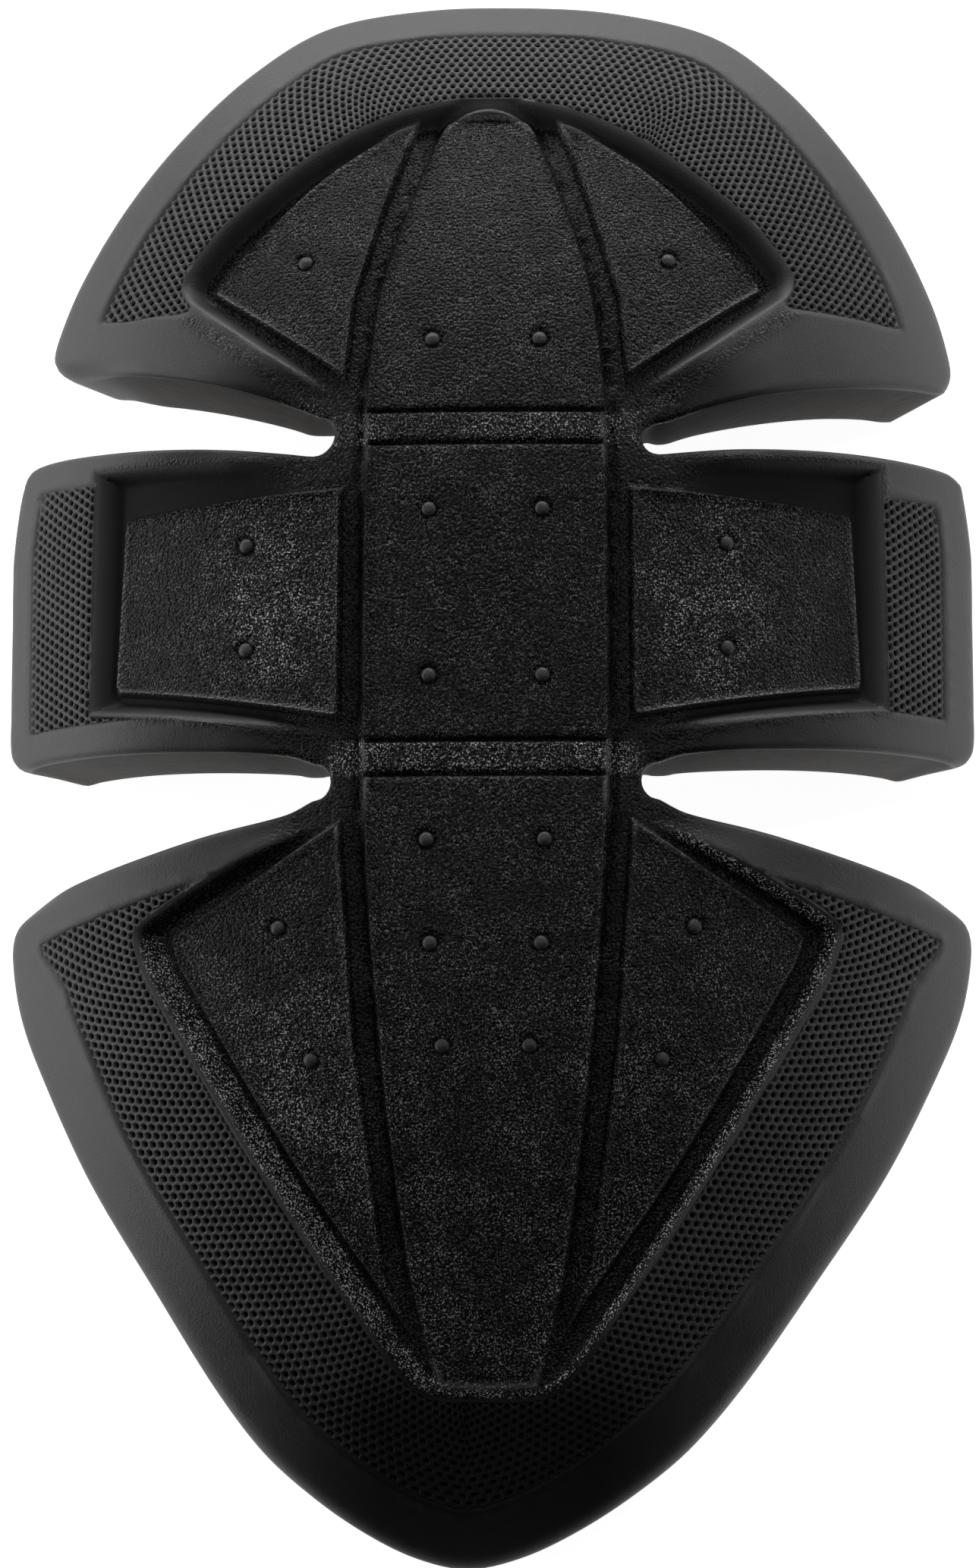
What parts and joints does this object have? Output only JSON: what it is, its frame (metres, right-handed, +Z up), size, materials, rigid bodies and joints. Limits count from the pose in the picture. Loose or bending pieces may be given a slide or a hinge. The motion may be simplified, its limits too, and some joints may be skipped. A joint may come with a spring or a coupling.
{
  "type": "foam knee protector",
  "caption": "Domed one-piece foam knee pad with an upper lobe, winged centre bar and tapering shin lobe, hollow underneath for the knee.",
  "frame": {"origin": "on the surface that the pad lies on, under the middle of its outline", "axes": "+Y along the pad toward the crown of the upper lobe, +Z up out of the outer face, +X across the pad"},
  "size_m": [0.1618, 0.2663, 0.0442],
  "materials": {
    "moulded_foam": "black moulded foam with a satin skin: pebbled plates, dimpled mesh bands, smooth rounded rim, matt walls in the flex slots"
  },
  "bodies": {
    "root": {"knee_pad": "moulded_foam"}
  },
  "joints": []
}
